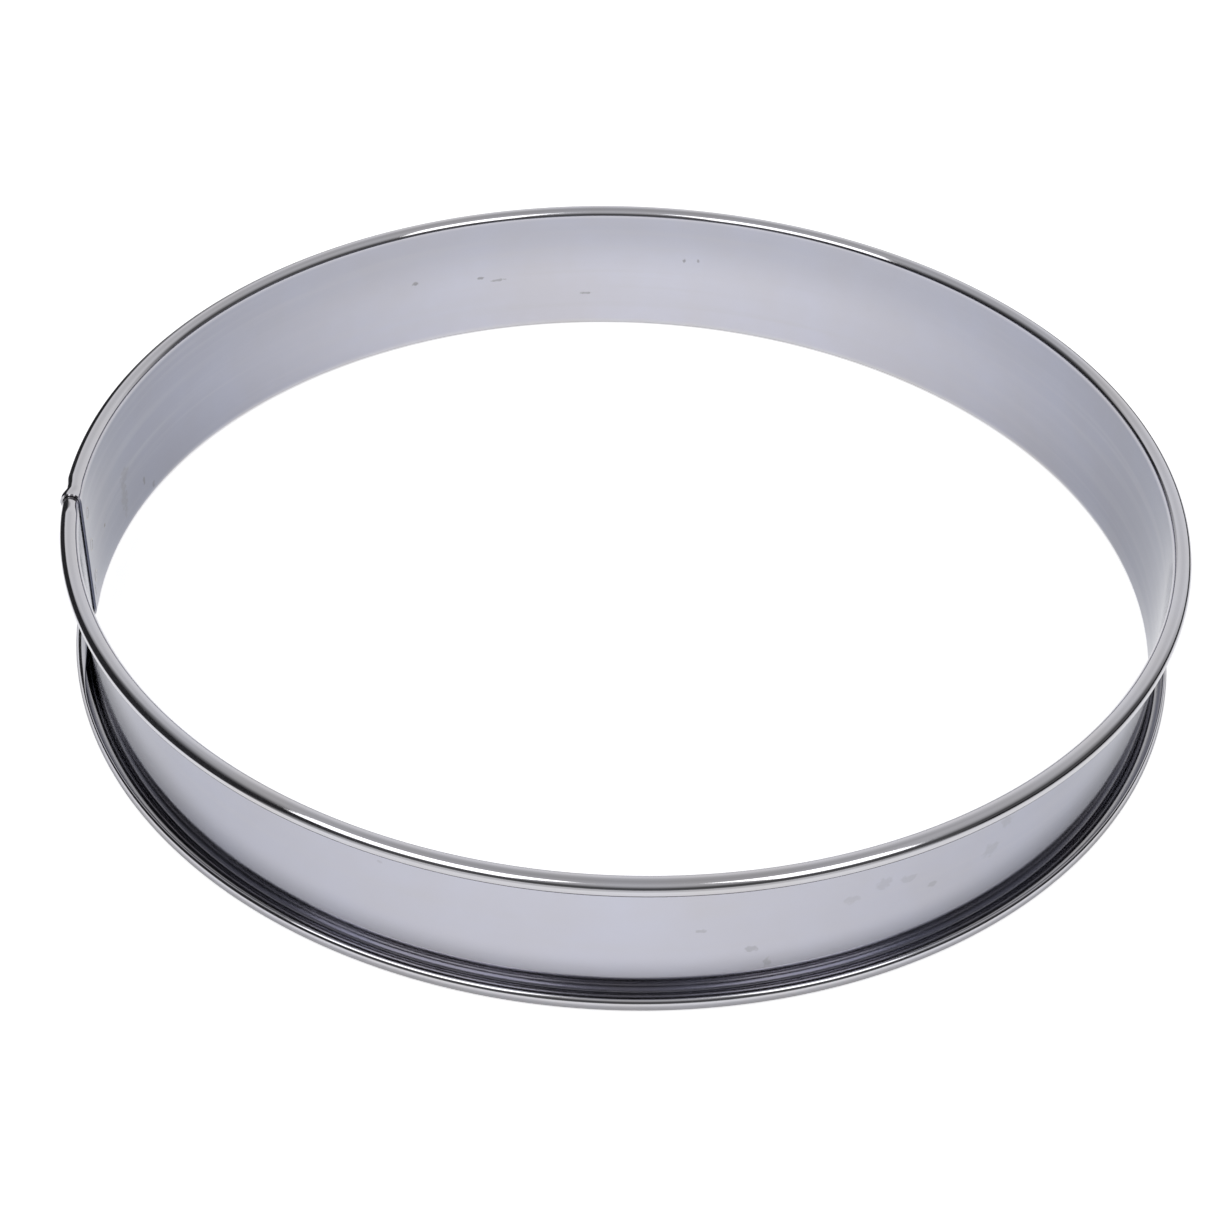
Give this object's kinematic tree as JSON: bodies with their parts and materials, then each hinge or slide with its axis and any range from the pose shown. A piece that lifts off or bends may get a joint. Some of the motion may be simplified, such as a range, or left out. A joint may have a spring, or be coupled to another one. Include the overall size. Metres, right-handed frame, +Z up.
{
  "type": "pastry ring",
  "caption": "Round metal pastry ring with a straight wall and open rolled beads along both edges, for baking tarts on a flat sheet.",
  "frame": {"origin": "on the surface that the ring stands on, at the middle of the hoop", "axes": "+Z up along the axis of the hoop; the lap seam lies 8 degrees past -X towards -Y"},
  "size_m": [0.248, 0.248, 0.035],
  "materials": {
    "steel": "satin rolled stainless sheet, lightly brushed round the wall, with faint stains and scuffs"
  },
  "bodies": {
    "root": {"ring": "steel"}
  },
  "joints": []
}
